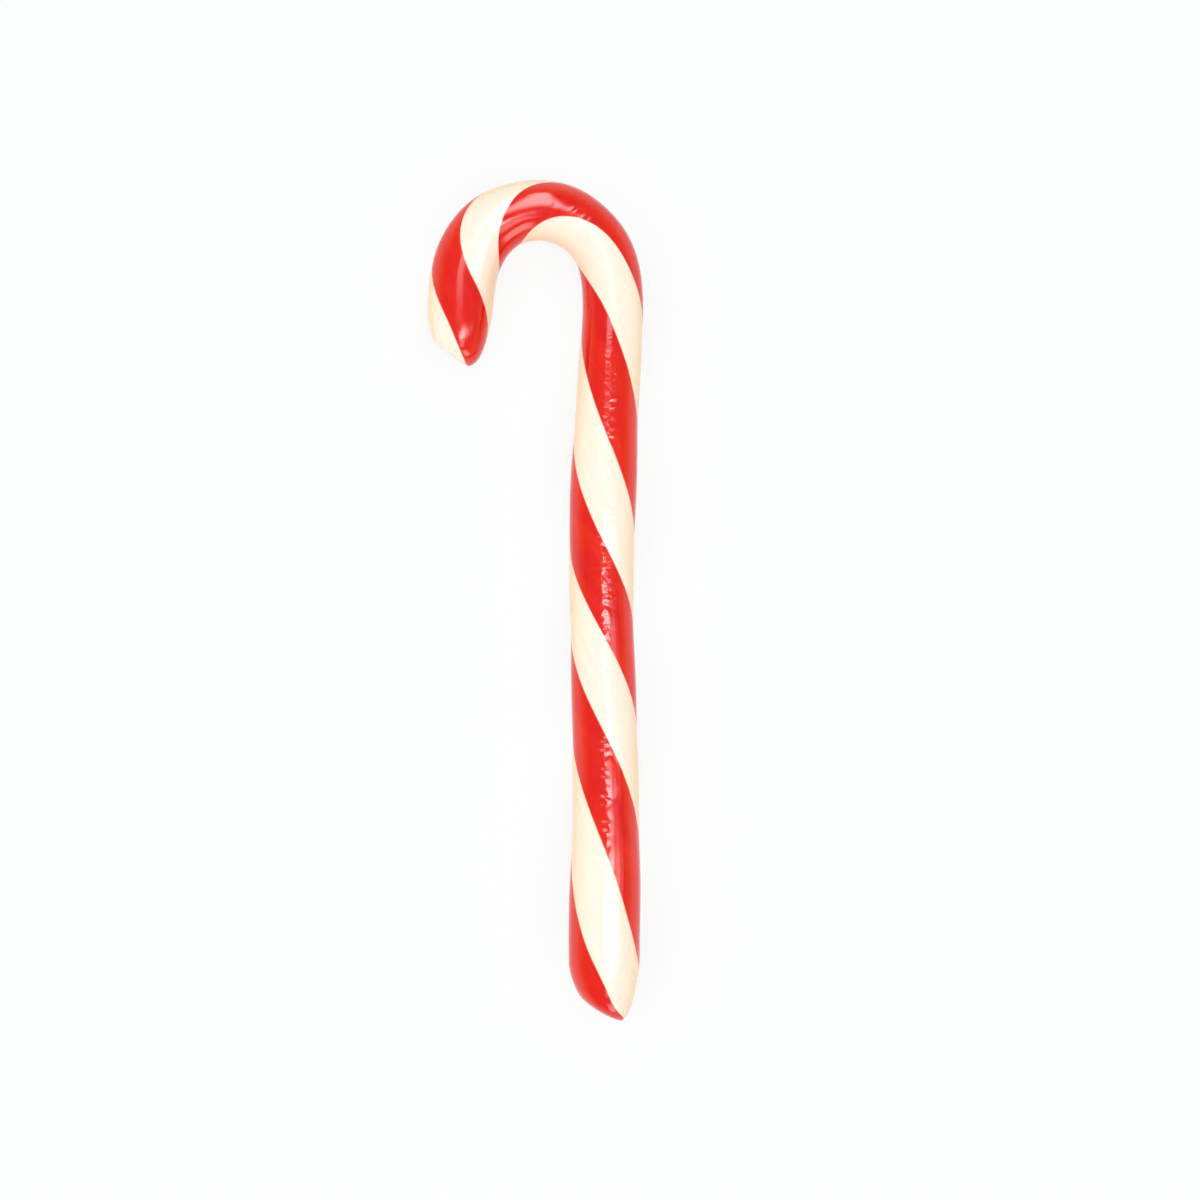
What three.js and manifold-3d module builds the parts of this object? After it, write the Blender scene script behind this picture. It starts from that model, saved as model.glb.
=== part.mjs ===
import * as THREE from 'three';
import { mergeVertices } from 'three/addons/utils/BufferGeometryUtils.js';
import Module from 'manifold-3d';

// A hand-pulled candy cane of striped boiled sugar, lying on the slab where it cooled.
// Millimetres: the stick runs along +Y, the crook curls over towards -X, and +Z is up.

// The centreline, by distance from the foot. The stick leans and bows a little.
const stickLength = 186.1;
const stickHeading = [[0, 90.9], [23, 89], [55, 91.7], [115, 86.4]];

// The crook's bend eases in, holds and eases out. It was nudged round a post, so it wavers.
const crook = { start: 119.3, easeIn: 23, hold: 23.6, easeOut: 12.5, turn: 179.8 };
const waver = { share: 0.19, peak: 148.9, length: 12 };

// Radius by distance from the foot. The pulled rope is thickest at the foot.
const girth = [
  [0, 6.5], [18, 6.5], [40, 6.05], [68, 5.82], [93, 6.05], [114, 5.72],
  [141, 5.4], [148, 5.6], [154, 5.5], [162, 5.95], [170, 6.15], [181, 5.85],
];

// Two red and two cream stripes share the circle and meet in shallow folds. The twist is
// set by the distances at which one fold after another crosses the top of the stick.
const foldCrossings = [
  -22.9, 2.5, 27.9, 49.2, 67.6, 85, 104.2, 123.9, 145.7, 158.2, 169.6, 184.3, 199,
];
const stripes = { count: 4, foldDepth: 0.13 };

// The warm sugar settled on the slab, which left a narrow flat along its underside.
const settleDepth = 0.25;

// Each end was snipped while it was soft. The rope narrows over the snip's length to a
// thin slanted edge, from a corner on the right of the way out to a tip past the end.
const edgeHalfThickness = 0.4;
const footSnip = {
  length: 8, corner: [4.5, -2], cornerBend: [6.1, -4.5], tip: [-3, 2.5], tipBend: [-5.3, 1.3], belly: 0.5,
};
const crookSnip = {
  length: 8, corner: [4.3, -2], cornerBend: [5.7, -3.8], tip: [-2.2, 2], tipBend: [-5.3, 1.1], belly: 0.2,
};

// Facets of the skin.
const columns = 32;
const ringStep = 1.8;
const ringsPerSnip = 7;
const lineStep = 0.1;

const sugarFinish = { color: 0xf02c24, roughness: 0.12, metalness: 0 };

function alongKnots(knots, distance) {
  let value = knots[0][1];
  for (let i = 1; i < knots.length; i += 1) {
    const [from, before] = knots[i - 1];
    const [to, after] = knots[i];
    value += (after - before) * THREE.MathUtils.smoothstep(distance, from, to);
  }
  return value;
}

// Degrees turned per millimetre.
function crookCurvature(distance) {
  const held = crook.start + crook.easeIn;
  const released = held + crook.hold;
  const rise = THREE.MathUtils.smoothstep(distance, crook.start, held);
  const fall = THREE.MathUtils.smoothstep(distance, released, released + crook.easeOut);
  const full = crook.turn / (crook.easeIn / 2 + crook.hold + crook.easeOut / 2);
  const wave = Math.cos((2 * Math.PI * (distance - waver.peak)) / waver.length);
  return full * (rise - fall) * (1 + waver.share * wave);
}

function layCentreline() {
  const line = [];
  let turned = 0;
  let x = 0;
  let y = 0;
  for (let i = 0; i <= Math.round(stickLength / lineStep); i += 1) {
    const distance = i * lineStep;
    const degrees = alongKnots(stickHeading, distance) + turned;
    const heading = THREE.MathUtils.degToRad(degrees);
    line.push({ x, y, heading });
    turned += crookCurvature(distance + lineStep / 2) * lineStep;
    x += Math.cos(heading) * lineStep;
    y += Math.sin(heading) * lineStep;
  }
  return line;
}

// Stripes that have turned past the top per millimetre, near one of the crossings.
function crossingRate(index) {
  const before = Math.max(index - 1, 0);
  const after = Math.min(index + 1, foldCrossings.length - 1);
  return (after - before) / (foldCrossings[after] - foldCrossings[before]);
}

// Twist of the rope in radians, as a smooth curve through the crossings.
function twistAt(distance) {
  let i = 0;
  while (distance > foldCrossings[i + 1]) i += 1;
  const span = foldCrossings[i + 1] - foldCrossings[i];
  const t = (distance - foldCrossings[i]) / span;
  const turned = i + t * t * (3 - 2 * t);
  const leaving = t * (1 - t) * (1 - t) * span * crossingRate(i);
  const arriving = t * t * (t - 1) * span * crossingRate(i + 1);
  return ((2 * Math.PI) / stripes.count) * (turned + leaving + arriving);
}

// Share of the radius left by the folds between stripes, at an angle from the first fold.
function foldFactor(phase, radius) {
  const dome = Math.abs(Math.sin((phase * stripes.count) / 2));
  return 1 - (stripes.foldDepth / radius) * (1 - dome);
}

// Carries a point from distance along, across to the right and up, to the bent stick.
function placeOnLine(line, along, across, up) {
  const index = THREE.MathUtils.clamp(Math.round(along / lineStep), 0, line.length - 1);
  const { x, y, heading } = line[index];
  const ahead = along - index * lineStep;
  return new THREE.Vector3(
    x + Math.cos(heading) * ahead + Math.sin(heading) * across,
    y + Math.sin(heading) * ahead - Math.cos(heading) * across,
    up,
  );
}

function bodyRing(line, distance) {
  const ring = [];
  const radius = alongKnots(girth, distance);
  const twist = twistAt(distance);
  for (let column = 0; column < columns; column += 1) {
    const phase = (2 * Math.PI * column) / columns;
    const reach = radius * foldFactor(phase, radius);
    const across = reach * Math.cos(phase + twist);
    const up = radius - settleDepth + reach * Math.sin(phase + twist);
    ring.push(placeOnLine(line, distance, across, up));
  }
  return ring;
}

function bend(start, control, end, t) {
  const curve = new THREE.QuadraticBezierCurve(
    new THREE.Vector2(...start),
    new THREE.Vector2(...control),
    new THREE.Vector2(...end),
  );
  return curve.getPoint(t);
}

// A ring of a snipped end. Share runs from 0, where the snip starts, to 1 at its edge, and
// outward is 1 at the crook's end and -1 at the foot, where the way out runs down the line.
function snipRing(line, snip, endDistance, outward, share) {
  const ring = [];
  const start = endDistance - outward * snip.length;
  const radius = alongKnots(girth, start);
  const twist = twistAt(start + outward * snip.length * share);
  const cornerSide = bend([radius, -snip.length], snip.cornerBend, snip.corner, share);
  const tipSide = bend([-radius, -snip.length], snip.tipBend, snip.tip, share);
  const halfThickness = THREE.MathUtils.lerp(edgeHalfThickness, radius, Math.sqrt(1 - share * share));
  for (let column = 0; column < columns; column += 1) {
    const phase = (2 * Math.PI * column) / columns;
    const fold = foldFactor(phase, radius);
    const side = outward * Math.cos(phase + twist);
    const point = tipSide.clone().lerp(cornerSide, (1 + side * fold) / 2);
    const belly = snip.belly * share * (1 - side * side);
    const up = radius - settleDepth + halfThickness * fold * Math.sin(phase + twist);
    ring.push(placeOnLine(line, endDistance + outward * (point.y + belly), outward * point.x, up));
  }
  return ring;
}

function skinRings() {
  const line = layCentreline();
  const rings = [];
  for (let i = ringsPerSnip; i > 0; i -= 1) {
    rings.push(snipRing(line, footSnip, 0, -1, i / ringsPerSnip));
  }
  const bodyLength = stickLength - footSnip.length - crookSnip.length;
  const steps = Math.round(bodyLength / ringStep);
  for (let i = 0; i <= steps; i += 1) {
    rings.push(bodyRing(line, footSnip.length + (bodyLength * i) / steps));
  }
  for (let i = 1; i <= ringsPerSnip; i += 1) {
    rings.push(snipRing(line, crookSnip, stickLength, 1, i / ringsPerSnip));
  }
  return rings;
}

function ringCentre(ring) {
  const centre = new THREE.Vector3();
  ring.forEach((point) => centre.add(point));
  return centre.divideScalar(ring.length);
}

// One closed skin: quads between neighbouring rings, and a fan over each end.
function closeRings(rings) {
  const points = rings.flat();
  const faces = [];
  const last = (rings.length - 1) * columns;
  const footCentre = points.push(ringCentre(rings[0])) - 1;
  const crookCentre = points.push(ringCentre(rings.at(-1))) - 1;
  for (let column = 0; column < columns; column += 1) {
    const next = (column + 1) % columns;
    for (let row = 0; row < last; row += columns) {
      faces.push(row + column, row + columns + next, row + next);
      faces.push(row + column, row + columns + column, row + columns + next);
    }
    faces.push(footCentre, column, next);
    faces.push(crookCentre, last + next, last + column);
  }
  const geometry = new THREE.BufferGeometry().setFromPoints(points);
  geometry.setIndex(faces);
  return geometry;
}

function toManifold(wasm, geometry) {
  const bare = new THREE.BufferGeometry();
  bare.setAttribute('position', geometry.getAttribute('position'));
  bare.setIndex(geometry.getIndex());
  const merged = mergeVertices(bare);
  const mesh = new wasm.Mesh({
    numProp: 3,
    vertProperties: merged.getAttribute('position').array,
    triVerts: Uint32Array.from(merged.getIndex().array),
  });
  return new wasm.Manifold(mesh);
}

function toGeometry(manifold) {
  const mesh = manifold.getMesh();
  const geometry = new THREE.BufferGeometry();
  geometry.setAttribute('position', new THREE.BufferAttribute(mesh.vertProperties, 3));
  geometry.setIndex(new THREE.BufferAttribute(mesh.triVerts, 1));
  return geometry;
}

// Everything below the slab's top is taken off, which leaves the flat.
async function cutSettledFlat(geometry) {
  const wasm = await Module();
  wasm.setup();
  const slabSize = 3 * stickLength;
  const slabThickness = 10;
  const slab = new THREE.BoxGeometry(slabSize, slabSize, slabThickness);
  slab.translate(0, 0, -slabThickness / 2);
  return toGeometry(toManifold(wasm, geometry).subtract(toManifold(wasm, slab)));
}

// The origin goes to the middle of the bounding box, on the slab.
function centreOnSlab(geometry) {
  geometry.computeBoundingBox();
  const middle = geometry.boundingBox.getCenter(new THREE.Vector3());
  geometry.translate(-middle.x, -middle.y, 0);
}

async function makeCandyCane() {
  const geometry = await cutSettledFlat(closeRings(skinRings()));
  centreOnSlab(geometry);
  geometry.computeVertexNormals();
  const mesh = new THREE.Mesh(geometry, new THREE.MeshStandardMaterial(sugarFinish));
  mesh.name = 'candy_cane';
  return mesh;
}

const group = new THREE.Group();
group.add(await makeCandyCane());

export default group;
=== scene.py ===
import math

import bpy
import numpy as np
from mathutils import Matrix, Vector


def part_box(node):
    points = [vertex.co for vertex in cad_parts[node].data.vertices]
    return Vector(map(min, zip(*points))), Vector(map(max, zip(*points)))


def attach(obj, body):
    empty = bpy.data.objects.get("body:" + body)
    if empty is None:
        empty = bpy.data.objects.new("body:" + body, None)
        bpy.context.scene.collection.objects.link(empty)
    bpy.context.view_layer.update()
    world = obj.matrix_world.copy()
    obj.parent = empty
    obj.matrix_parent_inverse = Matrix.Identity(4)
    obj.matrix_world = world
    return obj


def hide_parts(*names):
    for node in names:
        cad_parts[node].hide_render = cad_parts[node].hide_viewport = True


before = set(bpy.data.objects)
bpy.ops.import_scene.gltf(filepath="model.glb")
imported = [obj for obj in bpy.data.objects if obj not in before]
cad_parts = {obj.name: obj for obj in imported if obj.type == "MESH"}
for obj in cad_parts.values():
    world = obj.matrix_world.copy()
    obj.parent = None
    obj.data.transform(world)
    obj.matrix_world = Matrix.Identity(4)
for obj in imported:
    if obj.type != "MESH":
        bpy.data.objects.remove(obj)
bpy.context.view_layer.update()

print("frame loaded")

mm = 0.001


def toLinear(hexColour):
    # sRGB hex to the linear values that Blender's sockets take
    channels = [int(hexColour[i:i + 2], 16) / 255 for i in (1, 3, 5)]
    linear = [c / 12.92 if c <= 0.04045 else ((c + 0.055) / 1.055) ** 2.4 for c in channels]
    return (*linear, 1.0)


def addNode(tree, kind, settings={}, inputs={}):
    # inputs takes values, or another node's output to link
    node = tree.nodes.new(kind)
    for name, value in settings.items():
        setattr(node, name, value)
    for name, value in inputs.items():
        if isinstance(value, bpy.types.NodeSocket):
            tree.links.new(value, node.inputs[name])
        else:
            node.inputs[name].default_value = value
    return node


def addEase(tree, value, band):
    # 0 to 1 as the value goes from the band's first number to its second
    node = addNode(tree, "ShaderNodeMapRange", {"interpolation_type": "SMOOTHSTEP"},
                   {"Value": value, "From Min": band[0], "From Max": band[1]})
    return node.outputs["Result"]


def addRamp(tree, value, stops):
    node = addNode(tree, "ShaderNodeValToRGB", inputs={"Fac": value})
    elements = node.color_ramp.elements
    while len(elements) < len(stops):
        elements.new(1.0)
    for element, (position, colour) in zip(elements, stops):
        element.position = position
        element.color = toLinear(colour)
    return node


def newMaterial(name):
    material = bpy.data.materials.new(name)
    material.use_nodes = True
    material.node_tree.nodes.clear()
    return material, material.node_tree


# The cane: one rope of pulled sugar, all sizes in millimetres, angles in degrees.
# Pairs are (distance from the foot, value there).
cane = {
    "stickLength": 186.1,
    "stickHeading": [(0, 90.9), (23, 89), (55, 91.7), (115, 86.4)],
    "crookStart": 119.3,
    "crookEaseIn": 23,
    "crookHold": 23.6,
    "crookEaseOut": 12.5,
    "crookTurn": 179.8,
    "waverShare": 0.19,           # the bend was nudged round by hand
    "waverPeak": 148.9,
    "waverLength": 12,
    "girth": [
        (0, 6.5), (18, 6.5), (40, 6.05), (68, 5.82), (93, 6.05), (114, 5.72),
        (141, 5.4), (148, 5.6), (154, 5.5), (162, 5.95), (170, 6.15), (181, 5.85),
    ],
    "rise": [                     # half its height, which stays even round the crook
        (0, 6.5), (18, 6.5), (40, 6.05), (68, 5.82), (93, 6.05), (114, 5.72), (139, 5.5),
    ],
    "twist": [                    # in quarter turns; a stripe's edge is on top at each whole one
        (-6, 0.5), (0, 0.78), (3.3, 0.91), (5.6, 1.03), (9.6, 1.24), (28.7, 2), (49.85, 3),
        (67.95, 4), (84.9, 5), (103.9, 6), (123.4, 7), (133.5, 7.57), (145.2, 8), (153.9, 8.54),
        (158.2, 9), (163.6, 9.48), (169.6, 10), (183.6, 11), (198.6, 12),
    ],
    "stripeCount": 4,
    "innerDrag": {"at": 139, "reach": 8, "degrees": 25},   # skin that slid under the crook's bend
    "foldDepth": 0.13,            # where two stripes meet
    "settleDepth": 0.25,          # the underside sank flat on the cooling slab
    "settleBlend": 0.05,
    "edgeHalfThickness": 0.4,
    "snipLength": 8,
    "columns": 160,               # points round a ring
    "ringSteps": [                # (up to here, ring spacing), finer where there are small marks
        (20, 0.35), (48, 0.25), (66, 0.4), (89, 0.2), (99, 0.5), (122, 0.3), (138, 0.6),
        (151, 0.16), (178.1, 0.6),
    ],
    "ringsPerSnip": 22,
    "lineStep": 0.05,
}

# Where the scissors pinched each end: points are (to the right of the way out, past the end).
# They dragged the skin round towards the tip by so many degrees, and rolled the whole edge. A
# higher taper keeps the rope full until closer to the edge.
footSnip = {
    "corner": (4.5, -2),
    "cornerBend": (6.1, -4.5),
    "tip": (-3, 2.5),
    "tipBend": (-5.3, 1.3),
    "belly": 0.5,
    "drag": 112,
    "roll": 25,
    "taper": 2.6,
}
crookSnip = {
    "corner": (4.3, -2),
    "cornerBend": (5.7, -3.8),
    "tip": (-2.2, 2),
    "tipBend": (-5.3, 1.1),
    "belly": 0.2,
    "drag": 30,
    "roll": 12,
    "taper": 3.2,
}
snipDragPower = 5                 # the drag is nearly all in the last millimetres

# Dents and ridges left by fingers and tools, each one: distance from the foot, degrees from
# the top towards the right, half length along, half width across, turn, height.
marks = [
    (38.7, -3, 0.35, 1.3, 20, -0.09),
    (39.2, -10, 0.28, 0.28, 0, -0.06),
    (34.3, -3, 1.2, 1.0, 0, -0.07),
    (29.5, 2, 0.7, 0.6, 0, -0.04),
    (86.9, -6, 0.3, 0.9, -30, 0.05),
    (83.2, 7, 0.8, 0.5, 10, -0.04),
    (78.5, -4, 1.2, 0.7, -8, -0.035),
    (74.7, -8, 0.7, 0.6, 0, -0.05),
    (74.3, 10, 0.4, 0.45, 0, -0.05),
    (69.3, 3, 1.7, 1.1, 12, -0.06),
    (68.6, 0, 0.3, 0.5, 35, 0.04),
    (117.6, -10, 0.22, 1.1, 15, 0.05),
    (115.8, 0, 0.22, 1.3, -12, 0.05),
    (121.8, -24, 0.3, 0.6, 30, 0.04),
    (112.4, 4, 0.3, 0.8, -20, 0.04),
    (106.3, 8, 0.5, 0.6, 0, -0.05),
    (145.9, 17, 0.28, 1.3, 24, 0.06),
    (145.0, 22, 0.28, 1.4, 20, 0.07),
    (143.7, 16, 0.26, 1.2, 16, 0.07),
    (142.6, 24, 0.25, 1.5, 12, 0.06),
    (141.3, 20, 0.25, 1.2, 6, 0.05),
    (147.2, 38, 0.3, 0.9, 20, 0.06),
    (143.0, 12, 0.45, 0.5, 0, -0.05),
    (149.1, 6, 0.4, 0.4, 0, -0.04),
    (171.5, -20, 1.4, 1.2, 25, -0.06),
    (181.6, -18, 2.2, 0.7, -12, 0.09),
    (12.0, 8, 4.5, 1.5, 8, -0.10),
    (6.0, 14, 2.2, 1.6, -14, 0.09),
    (17.5, -12, 2.2, 1.0, 30, 0.06),
    (21.5, -9, 0.9, 1.0, 20, 0.05),
    (9.0, -14, 1.6, 1.0, -20, 0.06),
    (3.2, 8, 2.2, 0.8, 18, 0.09),
    (1.4, -4, 0.9, 0.5, 10, -0.09),
]

# Rims of popped air bubbles and lifted flakes, each one: distance from the foot, degrees from
# the top, half length, half width, turn, height.
rims = [
    (1.9, -3, 1.1, 0.7, 20, -0.07),
    (30.6, -4, 2.5, 1.2, 6, -0.035),
    (41.4, 3, 4.6, 2.0, 4, -0.035),
    (69.6, 3, 2.4, 1.15, 8, 0.045),
    (74.3, 14, 0.5, 0.5, 0, 0.05),
    (77.0, 1, 0.45, 0.45, 0, 0.05),
    (81.3, -8, 2.6, 1.3, -8, 0.035),
    (86.3, -5, 0.5, 0.8, 30, 0.045),
    (101.2, 12, 0.5, 0.45, 0, 0.035),
    (103.0, 9, 0.6, 0.5, 0, 0.035),
]
rimHalfThickness = 0.22

# Rows of small cross ridges where the rope was drawn through the hands, each one: from, to,
# degrees from the top, half width across, pitch, height. They fade in and out at the ends of a
# row, wander across it in slow waves of (size, rate, phase), and vary in height.
ridgeRows = [
    (21, 66, -6, 1.0, 1.6, 0.055),
    (97, 116, 8, 0.8, 1.75, 0.04),
    (144.5, 150, 38, 0.9, 0.95, 0.03),
]
ridges = {
    "fade": 4,
    "wander": [(0.35, 0.9, 0), (0.2, 2.3, 1)],
    "pitchWander": 0.12,
    "unevenness": (0.35, 1.31, 2),
}

# Slow unevenness of a hand-rolled rope: wave length along, waves round, height, phase.
rolls = [(37, 1, 0.03, 0.4), (19, 2, 0.012, 2.1), (6.1, 5, 0.004, 0.9)]


def ease(value, start, end):
    t = np.clip((value - start) / (end - start), 0, 1)
    return t * t * (3 - 2 * t)


def alongKnots(knots, distance):
    value = knots[0][1] + 0 * distance
    for (start, before), (end, after) in zip(knots, knots[1:]):
        value = value + (after - before) * ease(distance, start, end)
    return value


def layCentreline():
    step = cane["lineStep"]
    distance = np.arange(0, cane["stickLength"] + step / 2, step)
    held = cane["crookStart"] + cane["crookEaseIn"]
    released = held + cane["crookHold"]
    rise = ease(distance, cane["crookStart"], held)
    fall = ease(distance, released, released + cane["crookEaseOut"])
    full = cane["crookTurn"] / (cane["crookEaseIn"] / 2 + cane["crookHold"] + cane["crookEaseOut"] / 2)
    wave = np.cos(2 * math.pi * (distance - cane["waverPeak"]) / cane["waverLength"])
    curvature = full * (rise - fall) * (1 + cane["waverShare"] * wave)
    turned = np.cumsum(curvature) * step
    heading = np.radians(alongKnots(cane["stickHeading"], distance) + turned)
    x = np.cumsum(np.cos(heading)) * step
    y = np.cumsum(np.sin(heading)) * step
    return {"distance": distance, "x": x, "y": y, "heading": heading}


def twistAt(distance):
    # radians of twist, through the knots without a kink
    knots, turns = np.array(cane["twist"], dtype=float).T
    rates = np.gradient(turns, knots)
    i = np.clip(np.searchsorted(knots, distance) - 1, 0, len(knots) - 2)
    span = knots[i + 1] - knots[i]
    t = (distance - knots[i]) / span
    turned = turns[i] + (turns[i + 1] - turns[i]) * t * t * (3 - 2 * t)
    leaving = t * (1 - t) ** 2 * span * rates[i]
    arriving = t * t * (t - 1) * span * rates[i + 1]
    return math.pi / 2 * (turned + leaving + arriving)


def intoMark(along, facing, radius, at, degrees, turn):
    # a point's distances along and across a mark that is turned by so many degrees
    ahead = along - at
    aside = (facing - math.radians(degrees)) * radius
    c, s = math.cos(math.radians(turn)), math.sin(math.radians(turn))
    return ahead * c + aside * s, aside * c - ahead * s


def relief(along, facing, radius):
    # height over the smooth rope; facing is in radians from the top towards the right
    height = np.zeros(np.broadcast(along, facing).shape)
    for length, waves, size, phase in rolls:
        height += size * np.cos(2 * math.pi * along / length + waves * facing + phase)
    for at, degrees, halfLength, halfWidth, turn, size in marks:
        u, v = intoMark(along, facing, radius, at, degrees, turn)
        height += size * np.exp(-(u / halfLength) ** 2 - (v / halfWidth) ** 2)
    for at, degrees, halfLength, halfWidth, turn, size in rims:
        u, v = intoMark(along, facing, radius, at, degrees, turn)
        reach = np.hypot(u / halfLength, v / halfWidth)
        height += size * np.exp(-((reach - 1) * halfWidth / rimHalfThickness) ** 2)
    for start, end, degrees, halfWidth, pitch, size in ridgeRows:
        aside = (facing - math.radians(degrees)) * radius / halfWidth
        wander = sum(reach * np.sin(along * rate + phase) for reach, rate, phase in ridges["wander"])
        wave = np.cos(2 * math.pi * (along / pitch + ridges["pitchWander"] * wander))
        window = ease(along, start, start + ridges["fade"]) - ease(along, end - ridges["fade"], end)
        share, rate, phase = ridges["unevenness"]
        uneven = 1 - share + share * np.sin(along * rate + phase)
        height += size * uneven * window * wave * np.exp(-(aside + wander) ** 4)
    return height


def bend(start, control, end, t):
    start, control, end = np.array(start), np.array(control), np.array(end)
    return (1 - t) ** 2 * start + 2 * t * (1 - t) * control + t * t * end


def facingOf(phase, distance):
    # radians from the top towards the right, for an angle round the twisted rope
    facing = (math.pi * 1.5 - phase - twistAt(distance)) % (2 * math.pi) - math.pi
    slide = cane["innerDrag"]
    share = np.exp(-((distance - slide["at"]) / slide["reach"]) ** 2)
    return facing - math.radians(slide["degrees"]) * share * np.clip(-np.sin(facing), 0, 1) ** 2


def ringInLine(distance, phase):
    # a round ring of the rope: distance along, across to the right, up, facing, and skin length
    radius = alongKnots(cane["girth"], distance)
    dome = np.abs(np.sin(phase * cane["stripeCount"] / 2))
    facing = facingOf(phase, distance)
    reach = radius - cane["foldDepth"] * (1 - dome) + relief(distance, facing, radius)
    along = np.full_like(phase, distance)
    rise = alongKnots(cane["rise"], distance)
    up = rise - cane["settleDepth"] + reach * np.cos(facing) * rise / radius
    return along, reach * np.sin(facing), up, facing, along


def ringInSnip(snip, endDistance, outward, share, phase):
    # share runs from 0, where the pinch starts, to 1 at the thin edge
    length = cane["snipLength"]
    start = endDistance - outward * length
    radius = alongKnots(cane["girth"], start)
    rise = alongKnots(cane["rise"], start)
    dome = np.abs(np.sin(phase * cane["stripeCount"] / 2))
    cornerSide = bend((radius, -length), snip["cornerBend"], snip["corner"], share)
    tipSide = bend((-radius, -length), snip["tipBend"], snip["tip"], share)
    thinned = (1 - share ** snip["taper"]) ** (1 / snip["taper"])
    halfThickness = cane["edgeHalfThickness"] + (rise - cane["edgeHalfThickness"]) * thinned
    distance = np.full_like(phase, start + outward * length * share)
    for attempt in range(3):      # a point's twist and its distance depend on each other
        facing = facingOf(phase, distance)
        towardsTip = (1 - outward * np.sin(facing)) / 2
        dragged = np.radians(snip["drag"] * towardsTip + snip["roll"]) * share ** snipDragPower
        facing = facing - outward * dragged
        side = outward * np.sin(facing)
        fold = 1 - (cane["foldDepth"] * (1 - dome) - relief(distance, facing, radius)) / radius
        mix = (1 + side * fold) / 2
        belly = snip["belly"] * share * (1 - side * side)
        distance = endDistance + outward * (tipSide[1] + (cornerSide[1] - tipSide[1]) * mix + belly)
    across = tipSide[0] + (cornerSide[0] - tipSide[0]) * mix
    up = rise - cane["settleDepth"] + halfThickness * fold * np.cos(facing)
    return distance, outward * across, up, facing, distance


def caneRings():
    phase = np.arange(cane["columns"]) * 2 * math.pi / cane["columns"]
    shares = np.sin(np.linspace(0, math.pi / 2, cane["ringsPerSnip"] + 1))[1:]
    rings = [ringInSnip(footSnip, 0, -1, share, phase) for share in shares[::-1]]
    distances = [cane["snipLength"]]
    for stretchEnd, step in cane["ringSteps"]:
        steps = round((stretchEnd - distances[-1]) / step)
        distances += np.linspace(distances[-1], stretchEnd, steps + 1)[1:].tolist()
    rings += [ringInLine(distance, phase) for distance in distances]
    rings += [ringInSnip(crookSnip, cane["stickLength"], 1, share, phase) for share in shares]
    return np.array(rings).transpose(0, 2, 1)


def placeOnLine(rings, line):
    # bends straight rings round the centreline, past its ends in a straight line
    along, across, up = rings[..., 0], rings[..., 1], rings[..., 2]
    inside = np.clip(along, 0, line["distance"][-1])
    heading = np.interp(inside, line["distance"], line["heading"])
    ahead = along - inside
    x = np.interp(inside, line["distance"], line["x"])
    y = np.interp(inside, line["distance"], line["y"])
    x += np.cos(heading) * ahead + np.sin(heading) * across
    y += np.sin(heading) * ahead - np.cos(heading) * across
    settled = (up + np.sqrt(up * up + cane["settleBlend"] ** 2)) / 2
    return np.stack([x, y, settled], axis=-1)


def makeCane():
    rings = caneRings()
    points = placeOnLine(rings, layCentreline()) * mm
    low, high = points.reshape(-1, 3).min(0), points.reshape(-1, 3).max(0)
    boxLow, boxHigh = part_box("candy_cane")
    shift = (np.array(boxLow) + np.array(boxHigh) - low - high) / 2
    points += [shift[0], shift[1], 0]
    ringCount, columns = points.shape[:2]
    vertices = points.reshape(-1, 3).tolist()
    vertices += [points[0].mean(0).tolist(), points[-1].mean(0).tolist()]
    faces = []
    corners = []
    for row in range(ringCount - 1):
        for column in range(columns):
            beside = (column + 1) % columns
            faces.append((row * columns + column, row * columns + beside,
                          (row + 1) * columns + beside, (row + 1) * columns + column))
            corners += [(column, row), (column + 1, row), (column + 1, row + 1), (column, row + 1)]
    last = (ringCount - 1) * columns
    for column in range(columns):
        beside = (column + 1) % columns
        faces.append((ringCount * columns, beside, column))
        corners += [(column + 0.5, -1), (column + 1, 0), (column, 0)]
        faces.append((ringCount * columns + 1, last + column, last + beside))
        corners += [(column + 0.5, ringCount), (column, ringCount - 1), (column + 1, ringCount - 1)]
    mesh = bpy.data.meshes.new("caneSkin")
    mesh.from_pydata(vertices, [], faces)
    uvs = (np.array(corners, dtype=float) + [0, 1]) / [columns, ringCount + 1]
    mesh.uv_layers.new(name="OFBake").data.foreach_set("uv", uvs.ravel())
    # skinPlace is a point's place on the skin: mm across, mm along, and cosine from the top
    facing, skinLength = rings[..., 3].ravel(), rings[..., 4].ravel()
    girth = alongKnots(cane["girth"], skinLength)
    places = np.stack([girth * np.sin(facing), skinLength, np.cos(facing)], axis=-1)
    places = np.concatenate([places, places[:1], places[-1:]])
    skinPlace = mesh.attributes.new("skinPlace", "FLOAT_VECTOR", "POINT")
    skinPlace.data.foreach_set("vector", places.ravel())
    mesh.polygons.foreach_set("use_smooth", [True] * len(faces))
    mesh.flip_normals()
    mesh.update()
    piece = bpy.data.objects.new("pulledCane", mesh)
    bpy.context.collection.objects.link(piece)
    return piece


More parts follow.
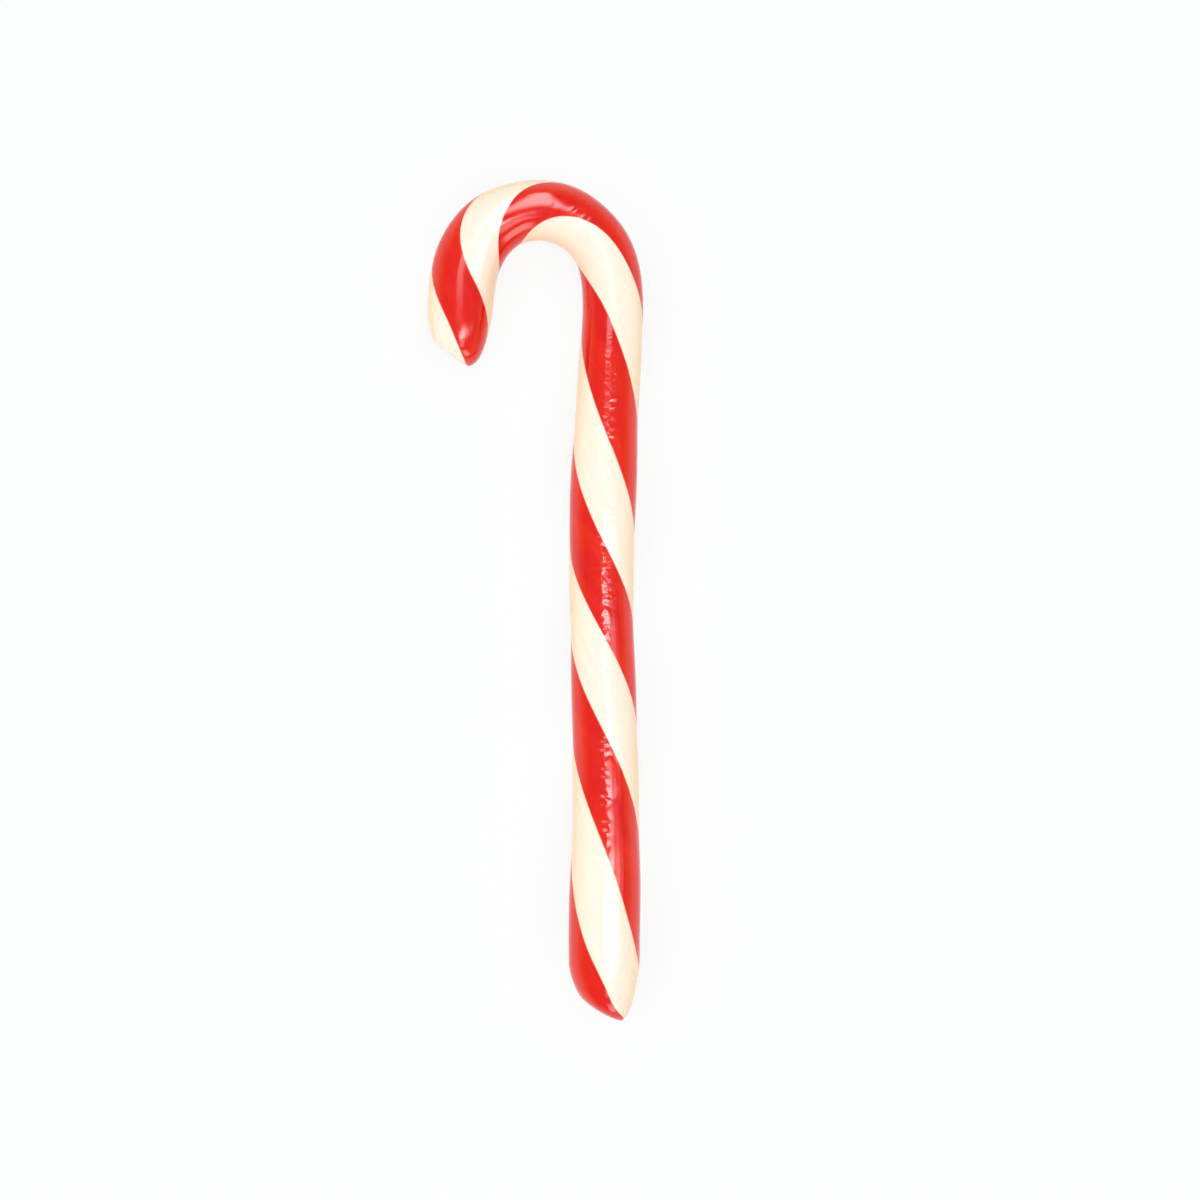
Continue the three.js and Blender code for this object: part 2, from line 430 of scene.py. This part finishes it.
# Boiled sugar, pulled and twisted: a dense, glassy skin. The red is clear and deep, a little
# more orange where it runs thin. The cream is full of fine air, so it is milky and warm.
sugar = {
    "redDeep": "#d81316",
    "red": "#e02012",
    "redThin": "#e62c13",
    "cream": "#feecdc",
    "creamPale": "#fff4ea",
    "creamPaintedShade": "#fcddbb",       # painted shade: the cream is painted warmer and darker low on the sides, for the dimmer warm light there
    "paintedShadeBand": (0.9, 0.25),      # cosines of the angle from the top where the painted shade starts and where it is full
    "roughness": 0.1,
    "smearRoughness": 0.08,
    "smearScale": 250.0,         # smears of handling in the gloss, about 4 mm across
    "ior": 1.54,
    "milkiness": 0.35,
    "milkRadius": (1.0, 0.45, 0.25),
    "milkDepth": 2.0,            # mm
    "edgeBlur": 0.06,            # sine of half a stripe's soft edge, which is 0.2 mm
    "edgeWobble": 0.004,         # in turns, or 0.15 mm
    "wobbleScale": 260.0,        # waves of about 4 mm
    "redStretch": (9, 16),       # the red's depth drifts so often round and along the cane
    "threadStretch": (28, 12),   # threads of air in the cream, drawn coarse enough to show
    "puckerHeight": 0.09,        # mm
    "puckerPitch": (0.4, 0.75),  # dimples to a millimetre across and along
    "puckerBand": (0.93, 0.985),   # cosines again
    "puckerStart": (60, 70),     # mm from the foot
    "puckerEnd": (125, 118),
}


def pulledSugarMaterial():
    material, tree = newMaterial("pulledSugar")
    uv = addNode(tree, "ShaderNodeUVMap", {"uv_map": "OFBake"})
    split = addNode(tree, "ShaderNodeSeparateXYZ", inputs={"Vector": uv.outputs["UV"]})
    place = addNode(tree, "ShaderNodeTexCoord")
    skin = addNode(tree, "ShaderNodeAttribute", {"attribute_name": "skinPlace"})
    skinSplit = addNode(tree, "ShaderNodeSeparateXYZ", inputs={"Vector": skin.outputs["Vector"]})

    # a wave of -1 to 1 round the rope, whose zeros are the stripe edges
    wobble = addNode(tree, "ShaderNodeTexNoise",
                     inputs={"Vector": place.outputs["Object"], "Scale": sugar["wobbleScale"],
                             "Detail": 3.0})
    wobbleSize = addNode(tree, "ShaderNodeMath", {"operation": "MULTIPLY_ADD"},
                         {0: wobble.outputs["Fac"], 1: sugar["edgeWobble"], 2: -sugar["edgeWobble"] / 2})
    turned = addNode(tree, "ShaderNodeMath", {"operation": "ADD"},
                     {0: split.outputs["X"], 1: wobbleSize.outputs["Value"]})
    doubled = addNode(tree, "ShaderNodeMath", {"operation": "MULTIPLY"},
                      {0: turned.outputs["Value"], 1: 4 * math.pi})
    wave = addNode(tree, "ShaderNodeMath", {"operation": "SINE"}, {0: doubled.outputs["Value"]})
    isRed = addEase(tree, wave.outputs["Value"], (-sugar["edgeBlur"], sugar["edgeBlur"]))

    # the red's depth drifts over a centimetre or so, drawn out along the stripes
    drawn = addNode(tree, "ShaderNodeMapping",
                    inputs={"Vector": uv.outputs["UV"], "Scale": (*sugar["redStretch"], 1)})
    depth = addNode(tree, "ShaderNodeTexNoise",
                    inputs={"Vector": drawn.outputs["Vector"], "Scale": 1.0, "Detail": 2.0})
    reds = addRamp(tree, depth.outputs["Fac"],
                   [(0.28, sugar["redDeep"]), (0.5, sugar["red"]), (0.72, sugar["redThin"])])

    # faint threads of air in the cream, 1 to 2 mm apart; low on the sides it is painted darker and
    # warmer, as painted shade
    stretch = addNode(tree, "ShaderNodeMapping",
                      inputs={"Vector": uv.outputs["UV"], "Scale": (*sugar["threadStretch"], 1)})
    threads = addNode(tree, "ShaderNodeTexNoise",
                      inputs={"Vector": stretch.outputs["Vector"], "Scale": 1.0, "Detail": 3.0})
    creams = addRamp(tree, threads.outputs["Fac"], [(0.2, sugar["cream"]), (0.8, sugar["creamPale"])])
    # painted shade: towards the sides the cream turns to a darker, warmer colour
    creamsWithPaintedShade = addNode(tree, "ShaderNodeMix", {"data_type": "RGBA"},
                             {"Factor": addEase(tree, skinSplit.outputs["Z"], sugar["paintedShadeBand"]),
                              "A": creams.outputs["Color"], "B": toLinear(sugar["creamPaintedShade"])})
    stripes = addNode(tree, "ShaderNodeMix", {"data_type": "RGBA"},
                      {"Factor": isRed, "A": creamsWithPaintedShade.outputs["Result"],
                       "B": reds.outputs["Color"]})

    # smears of handling in the gloss
    smears = addNode(tree, "ShaderNodeTexNoise",
                     inputs={"Vector": place.outputs["Object"], "Scale": sugar["smearScale"],
                             "Detail": 3.0})
    gloss = addNode(tree, "ShaderNodeMapRange",
                    inputs={"Value": smears.outputs["Fac"], "From Min": 0.4, "From Max": 0.75,
                            "To Min": sugar["roughness"],
                            "To Max": sugar["roughness"] + sugar["smearRoughness"]})

    # a fine pucker along the top, where the warm rope was drawn over an edge: soft dimples
    stretched = addNode(tree, "ShaderNodeVectorMath", {"operation": "MULTIPLY"},
                        {0: skin.outputs["Vector"], 1: (*sugar["puckerPitch"], 0)})
    dimples = addNode(tree, "ShaderNodeTexNoise",
                      inputs={"Vector": stretched.outputs["Vector"], "Scale": 1.0, "Detail": 1.0,
                              "Distortion": 0.8})
    puckered = dimples.outputs["Fac"]
    for axis, band in [("Z", "puckerBand"), ("Y", "puckerStart"), ("Y", "puckerEnd")]:
        product = addNode(tree, "ShaderNodeMath", {"operation": "MULTIPLY"},
                          {0: puckered, 1: addEase(tree, skinSplit.outputs[axis], sugar[band])})
        puckered = product.outputs["Value"]
    bump = addNode(tree, "ShaderNodeBump",
                   inputs={"Strength": 1.0, "Distance": sugar["puckerHeight"] * mm, "Height": puckered})

    shader = addNode(tree, "ShaderNodeBsdfPrincipled",
                     inputs={"Base Color": stripes.outputs["Result"],
                             "Roughness": gloss.outputs["Result"],
                             "Normal": bump.outputs["Normal"], "IOR": sugar["ior"],
                             "Subsurface Weight": sugar["milkiness"],
                             "Subsurface Radius": sugar["milkRadius"],
                             "Subsurface Scale": sugar["milkDepth"] * mm})
    addNode(tree, "ShaderNodeOutputMaterial", inputs={"Surface": shader.outputs["BSDF"]})
    return material


caneSkin = makeCane()
caneSkin.data.materials.append(pulledSugarMaterial())
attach(caneSkin, "root")
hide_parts("candy_cane")
print("cane made,", len(caneSkin.data.polygons), "faces")


# Opal acrylic sheet lit from below: an even white that keeps shadows faint.
table = {"size": 6.0, "colour": "#5a5a5a", "roughness": 0.9, "light": "#fcfefe", "glow": 0.877}


def makeTable():
    half = table["size"] / 2
    mesh = bpy.data.meshes.new("tableTop")
    corners = [(-half, -half, 0), (half, -half, 0), (half, half, 0), (-half, half, 0)]
    mesh.from_pydata(corners, [], [(0, 1, 2, 3)])
    floor = bpy.data.objects.new("tableTop", mesh)
    bpy.context.collection.objects.link(floor)
    material, tree = newMaterial("opalAcrylic")
    shader = addNode(tree, "ShaderNodeBsdfPrincipled",
                     inputs={"Base Color": toLinear(table["colour"]), "Roughness": table["roughness"],
                             "Specular IOR Level": 0.1, "Emission Color": toLinear(table["light"]),
                             "Emission Strength": table["glow"]})
    addNode(tree, "ShaderNodeOutputMaterial", inputs={"Surface": shader.outputs["BSDF"]})
    mesh.materials.append(material)
    return floor


makeTable()


# Soft boxes over the table, in metres. Mirrored ones are only seen in the glossy skin, and the
# others only light its colour. Fade is the share that dims at the left, right, near and far edge.
softBoxes = {
    "sideBoxNear": {
        "middle": (0.3, -0.141, 1.0), "size": (0.54, 0.258), "glow": 11.0, "mirrored": True,
        "fade": (0.06, 0.35, 0.15, 0.2),
    },
    "sideBoxFar": {
        "middle": (0.8, -0.156, 1.0), "size": (0.9, 0.288), "glow": 4.2, "mirrored": True,
        "fade": (0.35, 0.5, 0.15, 0.2),
    },
    "sideBoxFaint": {
        "middle": (1.3, -0.156, 1.0), "size": (0.7, 0.288), "glow": 1.8, "mirrored": True,
        "fade": (0.4, 0.4, 0.15, 0.2),
    },
    "upperBox": {
        "middle": (0.29, 0.012, 1.0), "size": (0.52, 0.048), "glow": 2.8, "mirrored": True,
        "fade": (0.1, 0.3, 0.1, 0.1),
    },
    "footBox": {
        "middle": (0.3, -0.52, 1.0), "size": (0.54, 0.5), "glow": 3.0, "mirrored": True,
        "fade": (0.2, 0.4, 0.2, 0.1),
    },
    "crookBox": {
        "middle": (-0.03, 1.18, 1.0), "size": (0.48, 2.26), "glow": 7.6, "mirrored": True,
        "fade": (0.15, 0.35, 0.18, 0.1),
    },
    "frontBox": {
        "middle": (0.85, -1.7, 0.8), "size": (1.5, 1.4), "tilt": 90, "glow": 3.8, "mirrored": True,
        "fade": (0.25, 0.25, 0.25, 0.25),
    },
    "skyBox": {
        "middle": (0.0, 0.0, 1.2), "size": (3.0, 3.0), "glow": 1.25, "mirrored": False,
        "fade": (0, 0, 0, 0),
    },
    "keyBox": {
        "middle": (-1.1, -0.75, 1.0), "size": (0.9, 0.9), "glow": 1.4, "mirrored": False,
        "fade": (0, 0, 0, 0),
    },
}


def fadeLight(light, fade):
    # dims the box towards its edges, as the cloth over a real one does
    light.use_nodes = True
    tree = light.node_tree
    tree.nodes.clear()
    place = addNode(tree, "ShaderNodeNewGeometry")
    split = addNode(tree, "ShaderNodeSeparateXYZ", inputs={"Vector": place.outputs["Parametric"]})
    strength = 1.0
    edges = [("X", 0, fade[0]), ("X", 1, 1 - fade[1]), ("Y", 0, fade[2]), ("Y", 1, 1 - fade[3])]
    for axis, edge, full in edges:
        if edge == full:
            continue
        product = addNode(tree, "ShaderNodeMath", {"operation": "MULTIPLY"},
                          {0: addEase(tree, split.outputs[axis], (edge, full)), 1: strength})
        strength = product.outputs["Value"]
    emission = addNode(tree, "ShaderNodeEmission", inputs={"Strength": strength})
    addNode(tree, "ShaderNodeOutputLight", inputs={"Surface": emission.outputs["Emission"]})


def makeLight(name, facts):
    width, length = facts["size"]
    light = bpy.data.lights.new(name, "AREA")
    light.shape = "RECTANGLE"
    light.size, light.size_y = width, length
    light.energy = facts["glow"] * math.pi * width * length
    fadeLight(light, facts["fade"])
    lamp = bpy.data.objects.new(name, light)
    lamp.location = facts["middle"]
    lamp.rotation_euler.x = math.radians(facts.get("tilt", 0))
    lamp.visible_glossy = facts["mirrored"]
    lamp.visible_diffuse = not facts["mirrored"]
    bpy.context.collection.objects.link(lamp)


# The room is brighter and warmer towards the floor. The camera sees only its white backdrop.
room = {"horizon": "#ffdea8", "ceiling": "#808080", "backdrop": "#fbfbfb"}


def makeRoom():
    world = bpy.data.worlds.new("studioRoom")
    world.use_nodes = True
    tree = world.node_tree
    tree.nodes.clear()
    path = addNode(tree, "ShaderNodeLightPath")
    direction = addNode(tree, "ShaderNodeTexCoord")
    height = addNode(tree, "ShaderNodeSeparateXYZ", inputs={"Vector": direction.outputs["Generated"]})
    glow = addRamp(tree, height.outputs["Z"], [(0.0, room["horizon"]), (0.6, room["ceiling"])])
    glow.color_ramp.interpolation = "EASE"
    seen = addNode(tree, "ShaderNodeMix", {"data_type": "RGBA"},
                   {"Factor": path.outputs["Is Camera Ray"], "A": glow.outputs["Color"],
                    "B": toLinear(room["backdrop"])})
    background = addNode(tree, "ShaderNodeBackground", inputs={"Color": seen.outputs["Result"]})
    addNode(tree, "ShaderNodeOutputWorld", inputs={"Surface": background.outputs["Background"]})
    bpy.context.scene.world = world


for name, facts in softBoxes.items():
    makeLight(name, facts)
makeRoom()
print("studio lit")


# The camera looks straight down, with the cane a little to the left of the middle.
view = {"lens": 100, "sensor": 36, "frameWidth": 217.4, "aside": 11.7}


def makeCamera():
    data = bpy.data.cameras.new("overheadCamera")
    data.lens = view["lens"]
    data.sensor_width = view["sensor"]
    camera = bpy.data.objects.new("overheadCamera", data)
    boxLow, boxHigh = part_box("candy_cane")
    middle = (boxLow + boxHigh) / 2
    distance = view["frameWidth"] * mm * view["lens"] / view["sensor"]
    camera.location = (middle.x + view["aside"] * mm, middle.y, middle.z + distance)
    bpy.context.collection.objects.link(camera)
    bpy.context.scene.camera = camera


makeCamera()
bpy.context.scene.view_settings.view_transform = "Standard"
print("camera set")
